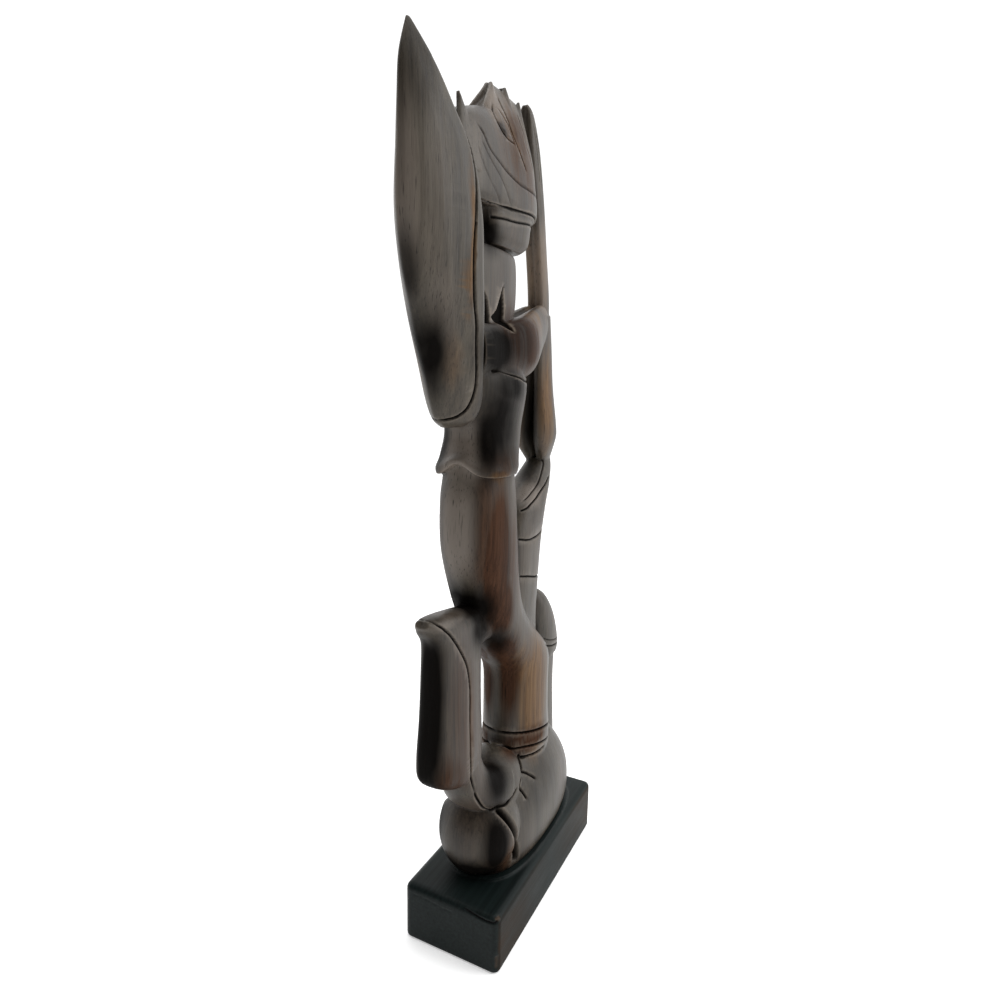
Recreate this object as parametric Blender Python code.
"""A tall slim wooden figure that kneels and prays, carved in profile, on a rectangular plinth.

Metres, +Z up. The figure faces -Y, its back is towards +Y, and it is alike on both sides of X = 0.
Stations are counted in UNIT, which follows from the height of the whole carving.
"""

import math

import bmesh
import bpy
from mathutils import Vector
from mathutils.bvhtree import BVHTree

# Driving sizes, in metres
TOTAL_HEIGHT = 0.500
PLINTH_WIDTH = 0.0645
PLINTH_LENGTH = 0.1585
PLINTH_HEIGHT = 0.0365
PLINTH_EDGE = 0.0042
PLINTH_FOOT_EDGE = 0.0018
PAD_HEIGHT = 0.0014
PAD_MARGIN = 0.0030
PART_GAP = 0.0003
WELD = 0.00003
COARSE_WELD = 0.00035
NUDGES = (0, 0.00007, -0.00011, 0.00017, -0.00023)
FINE_GROOVE = 0.0013
RING_GROOVE = 0.0017
GROOVE = 0.0020
DEEP_GROOVE = 0.0038

# The figure's own unit. Its stations count from the table: foot on the pad, fingertips at the top
FOOT_STATION = 3.6978
TOP_STATION = 48.4
FOOT_HEIGHT = PLINTH_HEIGHT + PAD_HEIGHT + PART_GAP
UNIT = (TOTAL_HEIGHT - FOOT_HEIGHT) / (TOP_STATION - FOOT_STATION)

# Fineness of the lofts
AROUND = 12
STEPS_BETWEEN = 2
RING_STEPS = 2
PAST_MIDDLE = 16
OUTSIDE = 10
RING_REACH = 3.9

# Stations, in units. Level forms: (height, centre to the back, half width, half depth)
BODY = [
    (7.6, -0.7, 1.90, 2.75),
    (9.8, -0.75, 1.98, 2.85),
    (11.5, -0.72, 1.88, 2.75),
    (13.5, -0.68, 1.84, 2.78),
    (15.2, -0.62, 1.84, 2.85),
    (16.3, 0.10, 1.85, 2.72),
    (18.0, 1.9, 1.82, 2.45),
    (19.6, 3.15, 1.78, 2.30),
    (21.4, 3.95, 1.80, 2.45),
    (24.0, 4.60, 1.88, 2.68),
    (26.5, 4.8, 1.88, 2.50),
    (28.0, 4.8, 1.82, 2.15),
    (30.0, 4.55, 1.72, 2.20),
    (33.4, 4.2, 1.85, 2.50),
    (34.9, 4.4, 1.60, 2.30),
    (35.9, 4.6, 1.05, 1.75),
]
LOWER_MASS = [
    (3.59, -0.6, 2.50, 5.80),
    (4.6, -0.75, 2.66, 6.15),
    (6.2, -0.75, 2.62, 5.95),
    (7.8, -0.6, 2.38, 5.15),
    (9.2, -0.5, 1.85, 4.05),
    (9.9, -0.6, 1.30, 3.00),
]
LEAF = [
    (47.72, 11.52, 0.08, 0.12),
    (46.2, 11.14, 0.80, 0.92),
    (44.7, 10.68, 1.27, 1.43),
    (43.0, 10.20, 1.76, 1.92),
    (40.4, 10.02, 2.12, 2.14),
    (38.2, 9.78, 2.15, 1.98),
    (36.0, 9.33, 2.08, 1.72),
    (33.6, 8.70, 1.86, 1.34),
    (31.9, 8.30, 1.62, 1.20),
    (31.0, 8.15, 1.20, 0.95),
    (30.6, 8.05, 0.60, 0.50),
]
CROWN = [
    (41.5, 4.5, 1.46, 3.9),
    (41.85, 4.4, 1.64, 4.4),
    (42.6, 4.4, 1.66, 4.5),
    (44.0, 4.5, 1.46, 4.5),
    (45.2, 4.3, 1.18, 4.1),
    (46.1, 3.7, 0.80, 2.6),
]
HEAD = [
    (39.8, 3.8, 1.10, 1.90),
    (40.2, 3.6, 1.38, 2.30),
    (41.0, 3.5, 1.48, 2.45),
    (42.1, 3.45, 1.50, 2.55),
]
HAIR_FALL = [
    (33.0, 5.2, 1.05, 2.6),
    (35.6, 5.4, 1.10, 3.05),
    (37.2, 5.25, 1.22, 3.30),
    (39.45, 5.3, 1.20, 3.2),
    (39.8, 5.6, 0.66, 2.9),
    (42.0, 5.6, 0.66, 2.9),
]
PANEL = [
    (28.4, -3.60, 0.55, 0.75),
    (27.7, -3.10, 0.80, 1.10),
    (27.0, -2.45, 1.00, 1.40),
    (26.3, -1.60, 1.22, 1.75),
    (25.4, -0.60, 1.42, 2.08),
    (23.3, 0.1, 1.42, 2.25),
    (20.6, 0.3, 1.36, 2.20),
    (18.2, 0.2, 1.25, 2.10),
    (15.5, -0.4, 1.10, 2.00),
]

SASH = [
    (20.80, 8.55, 0.45, 1.95),
    (20.45, 7.85, 0.92, 2.55),
    (19.6, 7.55, 1.05, 2.25),
    (18.0, 7.6, 1.10, 2.15),
    (15.5, 7.65, 1.12, 2.25),
    (13.2, 7.70, 1.18, 2.43),
    (12.1, 7.62, 1.15, 2.35),
    (11.3, 7.1, 1.02, 1.80),
    (10.8, 6.5, 0.85, 1.20),
]
JACKET = [
    (33.6, 4.7, 1.60, 2.80),
    (33.15, 4.7, 2.02, 3.15),
    (32.2, 4.7, 2.08, 3.05),
    (30.5, 4.40, 1.84, 2.40),
    (29.0, 4.75, 2.00, 2.18),
    (28.35, 5.0, 2.12, 2.24),
    (27.95, 5.06, 2.04, 2.16),
]

# Free forms: (across, to the back, height, half width, half depth)
SASH_LIP = [
    (0, 7.2, 19.9, 0.88, 1.00),
    (0, 8.8, 20.35, 0.86, 0.75),
    (0, 9.9, 20.70, 0.72, 0.48),
    (0, 10.5, 21.00, 0.40, 0.20),
]
SASH_BRIDGE = [
    (0, 3.0, 19.3, 0.95, 0.95),
    (0, 4.8, 19.3, 0.98, 0.95),
    (0, 6.6, 19.3, 0.98, 1.00),
]
SASH_CURL = [
    (0, 6.65, 11.7, 1.06, 1.20),
    (0, 6.10, 10.4, 1.32, 1.20),
    (0, 5.05, 9.35, 1.70, 1.32),
    (0, 3.40, 8.75, 1.92, 1.50),
]
UPPER_ARM = [
    (0.80, 7.4, 34.35, 0.95, 1.45),
    (0.86, 5.3, 34.45, 1.00, 1.50),
    (0.92, 3.4, 34.6, 1.02, 1.62),
    (0.86, 1.5, 34.95, 0.92, 1.66),
    (0.58, -0.6, 35.85, 0.62, 1.36),
    (0.42, -2.0, 36.65, 0.46, 1.02),
    (0.34, -2.55, 37.0, 0.38, 0.75),
]
FOREARM = [
    (0.24, -2.6, 35.9, 0.40, 0.62),
    (0.23, -2.62, 38.0, 0.37, 0.62),
    (0.22, -2.15, 40.5, 0.36, 0.60),
    (0.22, -1.50, 43.4, 0.36, 0.62),
    (0.20, -0.80, 46.0, 0.34, 0.60),
    (0.15, -0.28, 47.75, 0.25, 0.36),
    (0.08, -0.04, 48.35, 0.08, 0.10),
]
SLEEVE = [
    (0.40, -2.3, 37.0, 0.42, 0.80),
    (0.38, -2.6, 35.0, 0.42, 0.95),
    (0.42, -2.82, 32.8, 0.42, 1.00),
    (0.56, -2.82, 30.6, 0.56, 1.10),
    (0.58, -2.90, 29.5, 0.58, 1.10),
    (0.44, -3.15, 28.6, 0.44, 0.82),
    (0.30, -3.30, 28.0, 0.32, 0.60),
]
KNEE = [
    (0, -2.2, 19.5, 0.35, 0.20),
    (0, -2.9, 18.5, 0.90, 0.95),
    (0, -3.8, 16.8, 1.08, 1.50),
    (0, -4.45, 15.0, 1.10, 1.68),
    (0, -4.6, 14.3, 1.00, 1.60),
]
SHIN_STRIP = [
    (0, -4.5, 14.6, 0.80, 1.45),
    (0, -4.45, 12.0, 0.80, 1.40),
    (0, -4.3, 9.5, 0.95, 1.50),
    (0, -4.2, 7.0, 1.10, 1.60),
]

CROWN_CORE = [
    (44.6, 3.6, 1.30, 2.90),
    (46.0, 3.35, 0.95, 2.40),
    (46.9, 2.95, 0.58, 1.90),
    (47.6, 2.75, 0.28, 1.70),
    (47.9, 2.65, 0.10, 1.50),
]

# Carved lines on both flanks: (to the back, height) in units, drawn in profile
LEAF_LINE = [
    (9.92, 45.4), (9.3, 44.1), (8.8, 42.3), (8.94, 40.3), (9.0, 38.6),
    (8.8, 36.6), (8.4, 34.6), (8.0, 32.8), (8.2, 31.7), (8.7, 31.15),
]
SASH_LINE = [
    (9.9, 20.7), (9.0, 19.9), (8.15, 18.7), (7.7, 17.5), (7.5, 16.0), (7.5, 14.0),
    (7.4, 12.3), (6.95, 10.9), (6.5, 9.8), (5.8, 8.9), (5.0, 8.4), (4.2, 8.2), (3.4, 8.35),
]
HEEL_LINE = [(2.0, 9.4), (2.7, 8.9), (3.2, 8.4)]
NOTCH_LINES = [
    [(2.0, 9.0), (1.5, 9.6), (0.6, 9.5), (-0.8, 9.35)],
    [(2.1, 9.0), (1.5, 8.75), (0.8, 8.0)],
    [(2.9, 8.55), (2.35, 8.0), (2.1, 7.3)],
]
CRESCENT_LINE = [(4.8, 8.0), (4.6, 7.4), (4.2, 6.6), (3.7, 5.6), (3.5, 4.7), (3.45, 4.0)]
CROWN_LINES = [
    [(7.3, 44.2), (6.2, 43.5), (4.8, 43.1), (2.6, 43.3)],
    [(7.1, 43.6), (6.3, 42.7), (5.0, 41.9)],
]
BROW_LINE = [(6.0, 40.9), (4.4, 41.1), (2.4, 41.4), (1.3, 41.5)]

# Lines round the front or all round: centre to the back, then (angle in degrees, height)
PANEL_RINGS = [
    (-0.4, [(80, 25.5), (110, 25.6), (145, 26.2), (180, 26.9)]),
    (0.0, [(80, 23.4), (110, 23.4), (145, 23.6), (180, 23.9)]),
    (0.2, [(80, 21.2), (110, 21.1), (145, 20.9), (180, 20.8)]),
]
BAND_RINGS = [
    (-0.7, [(0, 11.35), (60, 11.2), (90, 10.95), (130, 10.6), (180, 10.3)]),
    (-0.7, [(38, 10.5), (65, 10.3), (90, 10.0), (180, 9.5)]),
]
KNEE_RING = [(-4.4, [(90, 14.55), (180, 14.55)])]

# Rounded masses at the base: centre, and radii across, to the back and upright
BACK_BALL = (0, 4.12, 6.32)
BACK_BALL_RADII = (2.42, 2.66, 2.92)
HEEL = (0, 2.85, 8.25)
HEEL_RADII = (1.95, 2.55, 2.50)

# Crown petals: (across, to the back, height) of foot and tip, then half width and half thickness
PETALS = [
    ((0.95, 5.0, 43.3), (0.10, 4.36, 47.88), 1.65, 0.50),
    ((0.95, 2.2, 43.3), (0.10, 2.85, 48.16), 2.00, 0.50),
    ((1.00, 7.6, 42.6), (0.55, 8.35, 45.95), 0.95, 0.45),
    ((0.70, 0.9, 43.0), (0.12, 1.15, 48.05), 1.30, 0.42),
]
PETAL_PROFILE = ((0.0, 0.80), (0.3, 1.0), (0.5, 0.88), (0.7, 0.56), (0.87, 0.25), (1.0, 0.03))


def power(value, exponent):
    """A signed power, for super-ellipses."""
    return math.copysign(abs(value) ** exponent, value)


def ring_point(angle, half_width, half_depth, squareness, taper):
    """A point of one section: across the figure, and towards its back. Angle 0 is the back."""
    along = power(math.cos(angle), 2 / squareness)
    across = power(math.sin(angle), 2 / squareness)
    narrowing = taper * ((1 + along) / 2) ** 1.7
    return across * half_width * (1 - narrowing), along * half_depth


def between(rows, place):
    """The row at a fractional place in a table, by a smooth curve through its rows."""
    last = len(rows) - 1
    index = min(int(place), last - 1)
    share = place - index
    a = rows[max(index - 1, 0)]
    b = rows[index]
    c = rows[index + 1]
    d = rows[min(index + 2, last)]
    row = []
    for p, q, r, s in zip(a, b, c, d):
        bend = 2 * q + (r - p) * share
        bend += (2 * p - 5 * q + 4 * r - s) * share**2
        bend += (3 * q - p - 3 * r + s) * share**3
        row.append(bend / 2)
    return row


def placed(x, y, z):
    """A point in metres from stations in units, with the foot on the pad."""
    return Vector((x * UNIT, y * UNIT, FOOT_HEIGHT + (z - FOOT_STATION) * UNIT))


def level_rows(stations):
    """Level stations as free ones: on the middle plane, in the order given."""
    return [(0, back, height, wide, deep) for height, back, wide, deep in stations]


def frame_at(rows, place, level):
    """Centre, the directions across and to the back of the section, and its half sizes."""
    x, y, z, wide, deep = between(rows, place)
    if level:
        across, back = Vector((1, 0, 0)), Vector((0, 1, 0))
    else:
        reach = 0.25
        ahead = Vector(between(rows, min(place + reach, len(rows) - 1))[:3])
        behind = Vector(between(rows, max(place - reach, 0))[:3])
        along = (ahead - behind).normalized()
        across = Vector((1, 0, 0))
        across = (across - along * across.dot(along)).normalized()
        back = along.cross(across)
    return Vector((x, y, z)), across, back, max(wide, 0.02), max(deep, 0.02)


def surface_point(form, place, angle):
    """A point on a form's surface, in metres."""
    centre, across, back, wide, deep = frame_at(form["rows"], place, form["level"])
    u, v = ring_point(angle, wide, deep, form["squareness"], form["taper"])
    return placed(*(centre + across * u + back * v))


def form(stations, level=False, squareness=2.3, taper=0.0):
    """A loft's description."""
    rows = level_rows(stations) if level else stations
    return {"rows": rows, "level": level, "squareness": squareness, "taper": taper}


def add_object(name, bm, material, group):
    """One named mesh object from a bmesh, with its faces out."""
    bmesh.ops.recalc_face_normals(bm, faces=bm.faces)
    bmesh.ops.triangulate(bm, faces=bm.faces)
    mesh = bpy.data.meshes.new(name)
    bm.to_mesh(mesh)
    bm.free()
    if material:
        mesh.materials.append(material)
    made = bpy.data.objects.new(name, mesh)
    group.objects.link(made)
    return made


def loft(name, shape, group, around=AROUND, steps=STEPS_BETWEEN):
    """A closed solid through a form's stations."""
    bm = bmesh.new()
    count = (len(shape["rows"]) - 1) * steps
    rings = []
    for i in range(count + 1):
        ring = []
        for k in range(around):
            angle = 2 * math.pi * (k + 0.5) / around
            ring.append(bm.verts.new(surface_point(shape, i / steps, angle)))
        rings.append(ring)
    for low, high in zip(rings, rings[1:]):
        for k in range(around):
            n = (k + 1) % around
            bm.faces.new((low[k], low[n], high[n], high[k]))
    for ring in (rings[0], rings[-1]):
        middle = bm.verts.new(sum((v.co for v in ring), Vector()) / around)
        for k in range(around):
            bm.faces.new((ring[k], ring[(k + 1) % around], middle))
    return add_object(name, bm, None, group)


def ball(name, centre, radii, group, around=AROUND, rings=9):
    """An ellipsoid, centre and radii in units."""
    bm = bmesh.new()
    bmesh.ops.create_uvsphere(bm, u_segments=around, v_segments=rings, radius=1)
    for vert in bm.verts:
        vert.co = placed(*(c + r * v for c, r, v in zip(centre, radii, vert.co)))
    return add_object(name, bm, None, group)


def block(name, low, high, group):
    """A box between two corners, in metres."""
    bm = bmesh.new()
    bmesh.ops.create_cube(bm, size=1)
    for vert in bm.verts:
        vert.co = Vector(l + (h - l) * (v + 0.5) for l, h, v in zip(low, high, vert.co))
    return add_object(name, bm, None, group)


def cord(name, path, radius, group):
    """A closed three-sided bar along a path of (point, way inwards), one corner inwards. For grooves."""
    bm = bmesh.new()
    rings = []
    for (before, _), (spot, inwards), (after, _) in zip(path, path[1:], path[2:]):
        along = (after - before).normalized()
        across = along.cross(inwards).normalized()
        deep = across.cross(along)
        ring = []
        for k in range(3):
            angle = 2 * math.pi * k / 3
            reach = deep * math.cos(angle) + across * math.sin(angle)
            ring.append(bm.verts.new(spot + reach * radius))
        rings.append(ring)
    first, last = bm.verts.new(path[0][0]), bm.verts.new(path[-1][0])
    for k in range(3):
        n = (k + 1) % 3
        bm.faces.new((rings[0][n], rings[0][k], first))
        bm.faces.new((rings[-1][k], rings[-1][n], last))
        for low, high in zip(rings, rings[1:]):
            bm.faces.new((low[k], low[n], high[n], high[k]))
    return add_object(name, bm, None, group)


def is_clean(bm):
    """Whether every edge joins just two faces and none is a sliver."""
    return all(len(edge.link_faces) == 2 and edge.calc_length() > WELD / 2 for edge in bm.edges)


def tidied(mesh):
    """A copy of the mesh in triangles with its short edges welded, or None where that isn't clean."""
    for distance in (COARSE_WELD, WELD):
        bm = bmesh.new()
        bm.from_mesh(mesh)
        bmesh.ops.triangulate(bm, faces=bm.faces)
        bmesh.ops.remove_doubles(bm, verts=bm.verts, dist=distance)
        bmesh.ops.dissolve_degenerate(bm, edges=bm.edges, dist=distance / 2)
        bmesh.ops.triangulate(bm, faces=bm.faces)
        result = None
        if is_clean(bm):
            result = bpy.data.meshes.new(mesh.name)
            bm.to_mesh(result)
        bm.free()
        if result:
            return result
    return None


def mirrored(mesh):
    """The +X half of a closed mesh and its mirror image, joined in the middle plane."""
    for nudge in NUDGES:
        bm = bmesh.new()
        bm.from_mesh(mesh)
        middle = abs(nudge)
        everything = bm.verts[:] + bm.edges[:] + bm.faces[:]
        bmesh.ops.bisect_plane(
            bm, geom=everything, dist=WELD, plane_co=(middle, 0, 0), plane_no=(1, 0, 0), clear_inner=True
        )
        for vert in bm.verts:
            vert.co.x = vert.co.x - middle if vert.co.x > middle + WELD else 0
        flat = [face for face in bm.faces if all(vert.co.x == 0 for vert in face.verts)]
        bmesh.ops.delete(bm, geom=flat, context="FACES")
        half = bm.verts[:] + bm.edges[:] + bm.faces[:]
        copied = bmesh.ops.duplicate(bm, geom=half)["geom"]
        for part in copied:
            if isinstance(part, bmesh.types.BMVert):
                part.co.x = -part.co.x
        faces = [part for part in copied if isinstance(part, bmesh.types.BMFace)]
        bmesh.ops.reverse_faces(bm, faces=faces)
        seam = [vert for vert in bm.verts if vert.co.x == 0]
        bmesh.ops.remove_doubles(bm, verts=seam, dist=WELD)
        bmesh.ops.triangulate(bm, faces=bm.faces)
        clean = is_clean(bm)
        if clean:
            result = bpy.data.meshes.new(mesh.name)
            bm.to_mesh(result)
        bm.free()
        if clean:
            return result
    raise RuntimeError("the halves don't join cleanly")


def boolean(target, cutters, operation):
    """Joins or cuts with each in turn. One that leaves an unclean solid is nudged and tried again."""
    for cutter in cutters:
        mesh = None
        for nudge in NUDGES:
            for solver in ("EXACT", "MANIFOLD"):
                if mesh:
                    continue
                cutter.location = (0, nudge, nudge)
                modifier = target.modifiers.new(cutter.name, "BOOLEAN")
                modifier.operation = operation
                modifier.solver = solver
                modifier.object = cutter
                depsgraph = bpy.context.evaluated_depsgraph_get()
                raw = bpy.data.meshes.new_from_object(target.evaluated_get(depsgraph))
                target.modifiers.clear()
                mesh = tidied(raw)
                bpy.data.meshes.remove(raw)
        if mesh is None:
            raise RuntimeError(f"{cutter.name} leaves the solid unclean")
        old = target.data
        target.data = mesh
        bpy.data.meshes.remove(old)


def curve_through(points, steps):
    """Points of a smooth curve through a few given ones."""
    return [between(points, i / steps) for i in range((len(points) - 1) * steps + 1)]


def flank_path(tree, points, steps):
    """A profile line laid on the left flank: each point is met from the side."""
    path = []
    for back, height in curve_through(points, steps):
        inwards = Vector((-1, 0, 0))
        hit = tree.ray_cast(placed(OUTSIDE, back, height), inwards)[0]
        if hit and hit.x > 0:
            path.append((hit, inwards))
    return path


def ring_path(tree, centre, points):
    """A line laid round the left side: each point is met from outside, towards the centre."""
    ends = [(-PAST_MIDDLE, points[0][1])] if points[0][0] == 0 else []
    angles = ends + points + [(180 + PAST_MIDDLE, points[-1][1])]
    path = []
    for angle, height in curve_through(angles, RING_STEPS):
        turn = math.radians(angle)
        out = Vector((math.sin(turn), math.cos(turn), 0))
        start = placed(0, centre, height) + out * RING_REACH * UNIT
        hit = tree.ray_cast(start, -out, RING_REACH * UNIT)[0]
        if hit:
            path.append((hit, -out))
    return path


def carve_lines(figure, work):
    """Cuts the grooves that show from a step away."""
    tree = BVHTree.FromObject(figure, bpy.context.evaluated_depsgraph_get())
    lines = [(LEAF_LINE, FINE_GROOVE), (SASH_LINE, GROOVE), (CRESCENT_LINE, DEEP_GROOVE)]
    lines += [(HEEL_LINE, GROOVE), (BROW_LINE, FINE_GROOVE)]
    lines += [(line, GROOVE) for line in NOTCH_LINES]
    lines += [(line, FINE_GROOVE) for line in CROWN_LINES]
    cutters = []
    for number, (line, radius) in enumerate(lines):
        steps = 1 if len(line) > 7 else 2
        cutters.append(cord(f"line_{number}", flank_path(tree, line, steps), radius, work))
    for number, (centre, points) in enumerate(PANEL_RINGS + BAND_RINGS + KNEE_RING):
        path = ring_path(tree, centre, points)
        cutters.append(cord(f"ring_{number}", path, RING_GROOVE, work))
    boolean(figure, cutters, "DIFFERENCE")


def petal(name, foot, tip, half_width, half_thickness, group):
    """A pointed leaf of the crown that stands on its foot, broad side outwards."""
    rows = []
    for share, swell in PETAL_PROFILE:
        spot = [f + (t - f) * share for f, t in zip(foot, tip)]
        thin = half_thickness * (1 - 0.75 * share)
        rows.append((spot[0], spot[1], spot[2], max(thin, 0.04), half_width * swell))
    return loft(name, form(rows, squareness=2.0), group, around=8, steps=1)


def wood(name, colour, roughness):
    """A plain finish."""
    material = bpy.data.materials.new(name)
    material.use_nodes = True
    shader = material.node_tree.nodes["Principled BSDF"]
    shader.inputs["Base Color"].default_value = (*colour, 1)
    shader.inputs["Roughness"].default_value = roughness
    return material


def build_figure(parts, work, material):
    """The carved figure as one solid."""
    figure = loft("figure", form(BODY, level=True, squareness=2.25), parts)
    leaf = form(LEAF, level=True, squareness=5.0, taper=0.82)
    joined = [
        loft("lower_mass", form(LOWER_MASS, level=True, squareness=2.5), work, around=18),
        ball("back_ball", BACK_BALL, BACK_BALL_RADII, work, around=14),
        ball("heel", HEEL, HEEL_RADII, work, around=12, rings=8),
        loft("sash", form(SASH, level=True, squareness=3.0), work, around=12),
        loft("sash_lip", form(SASH_LIP, squareness=2.6), work, around=12),
        loft("sash_bridge", form(SASH_BRIDGE, squareness=2.8), work, steps=1),
        loft("sash_curl", form(SASH_CURL, squareness=2.6), work, around=12),
        loft("jacket", form(JACKET, level=True, squareness=2.5), work, steps=1),
        loft("panel", form(PANEL, level=True, squareness=2.4), work, steps=1),
        loft("knee", form(KNEE, squareness=2.2), work, around=12),
        loft("shin_strip", form(SHIN_STRIP, squareness=2.6), work, steps=1),
        loft("hair_fall", form(HAIR_FALL, level=True, squareness=2.8), work, steps=1),
        loft("head", form(HEAD, level=True, squareness=3.4), work, steps=1),
        loft("crown", form(CROWN, level=True, squareness=2.8), work, around=12),
        loft("crown_core", form(CROWN_CORE, level=True, squareness=3.0), work, around=12, steps=1),
        loft("leaf", leaf, work, around=16),
        loft("upper_arm", form(UPPER_ARM), work, around=12, steps=1),
        loft("forearm", form(FOREARM, squareness=2.6), work, around=10, steps=1),
        loft("sleeve", form(SLEEVE, squareness=2.6), work, around=10, steps=1),
    ]
    for number, (foot, tip, wide, thick) in enumerate(PETALS):
        joined.append(petal(f"petal_{number}", foot, tip, wide, thick, work))
    boolean(figure, joined, "UNION")
    carve_lines(figure, work)
    reach = TOP_STATION * UNIT
    below = block("below", (-reach, -reach, -reach), (reach, reach, FOOT_HEIGHT), work)
    boolean(figure, [below], "DIFFERENCE")
    figure.data = mirrored(figure.data)
    figure.data.materials.clear()
    figure.data.materials.append(material)
    return figure


def rounded_box(name, size, edge, foot_edge, material, group):
    """A box on the table with its edges rounded, those round its underside by less."""
    bm = bmesh.new()
    bmesh.ops.create_cube(bm, size=1)
    for vert in bm.verts:
        vert.co = Vector((vert.co.x * size[0], vert.co.y * size[1], (vert.co.z + 0.5) * size[2]))
    above = [e for e in bm.edges if max(v.co.z for v in e.verts) > 0]
    bmesh.ops.bevel(bm, geom=above, offset=edge, segments=3, affect="EDGES", profile=0.5)
    under = [e for e in bm.edges if max(v.co.z for v in e.verts) < WELD]
    bmesh.ops.bevel(bm, geom=under, offset=foot_edge, segments=2, affect="EDGES", profile=0.5)
    return add_object(name, bm, material, group)


def column(name, back, half_width, half_depth, heights, group, around=28, squareness=2.8):
    """An upright solid of one rounded section between two heights, in metres."""
    bm = bmesh.new()
    section = []
    for k in range(around):
        u, v = ring_point(2 * math.pi * (k + 0.5) / around, half_width, half_depth, squareness, 0)
        section.append(bm.verts.new((u, back + v, heights[0])))
    base = bm.faces.new(section)
    lifted = bmesh.ops.extrude_face_region(bm, geom=[base], use_keep_orig=True)["geom"]
    for part in lifted:
        if isinstance(part, bmesh.types.BMVert):
            part.co.z = heights[1]
    return add_object(name, bm, None, group)


def build_plinth(parts, work, material):
    """The base block with a low pad that follows the figure's foot."""
    size = (PLINTH_WIDTH, PLINTH_LENGTH, PLINTH_HEIGHT)
    plinth = rounded_box("plinth", size, PLINTH_EDGE, PLINTH_FOOT_EDGE, material, parts)
    _, back, half_width, half_depth = LOWER_MASS[0]
    wide = half_width * UNIT + PAD_MARGIN
    deep = half_depth * UNIT + PAD_MARGIN
    heights = (PLINTH_HEIGHT - PAD_HEIGHT, PLINTH_HEIGHT + PAD_HEIGHT)
    pad = column("pad", back * UNIT, wide, deep, heights, work)
    boolean(plinth, [pad], "UNION")
    plinth.data.materials.clear()
    plinth.data.materials.append(material)
    return plinth


def main():
    for old in list(bpy.data.objects):
        bpy.data.objects.remove(old)
    parts = bpy.data.collections.new("praying_figure")
    work = bpy.data.collections.new("cutters")
    for group in (parts, work):
        bpy.context.scene.collection.children.link(group)
    stained = wood("stained_wood", (0.075, 0.045, 0.032), 0.38)
    blackened = wood("blackened_wood", (0.018, 0.020, 0.019), 0.42)
    build_figure(parts, work, stained)
    build_plinth(parts, work, blackened)
    for helper in list(work.objects):
        bpy.data.objects.remove(helper)


main()
